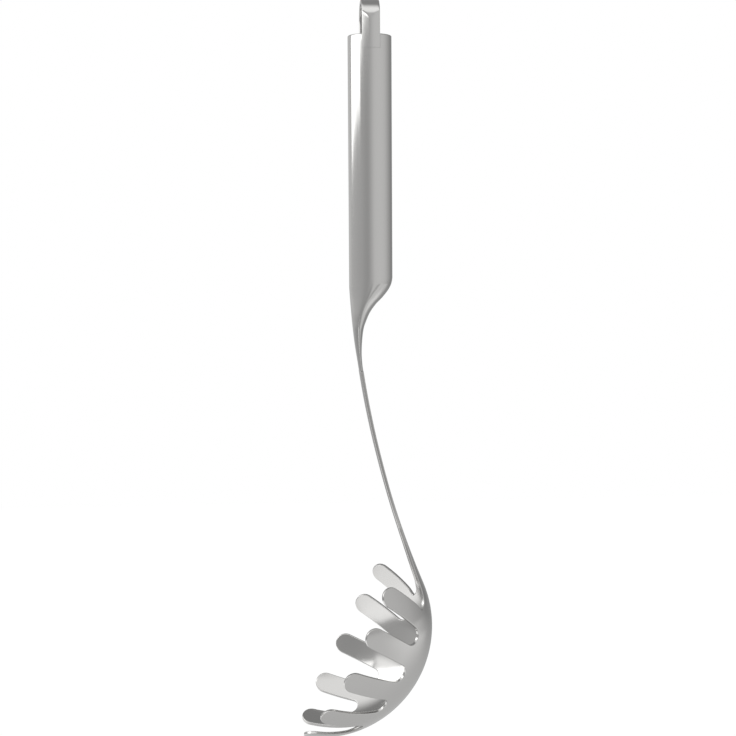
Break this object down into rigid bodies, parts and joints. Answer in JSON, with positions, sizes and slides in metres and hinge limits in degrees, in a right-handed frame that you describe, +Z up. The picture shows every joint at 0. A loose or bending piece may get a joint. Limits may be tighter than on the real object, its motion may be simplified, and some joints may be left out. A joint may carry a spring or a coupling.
{
  "type": "pasta server",
  "caption": "Stainless steel pasta server: deep curved bowl with rounded tines, slim arched shank, hollow round handle and a hanging loop.",
  "frame": {"origin": "underside of the hanging loop's crest, on the handle's axis, where a hook bears", "axes": "+Z up the handle from the bowl, -X the way the bowl opens, +Y the object's right seen from the bowl's open side"},
  "size_m": [0.0582, 0.0668, 0.3236],
  "materials": {
    "head_steel": "satin polished stainless sheet",
    "handle_steel": "satin polished stainless tube",
    "cap_steel": "satin stainless disc",
    "loop_steel": "satin polished stainless strip"
  },
  "bodies": {
    "root": {"head_and_shank": "head_steel", "handle_tube": "handle_steel", "end_cap": "cap_steel", "hanging_loop": "loop_steel"}
  },
  "joints": []
}
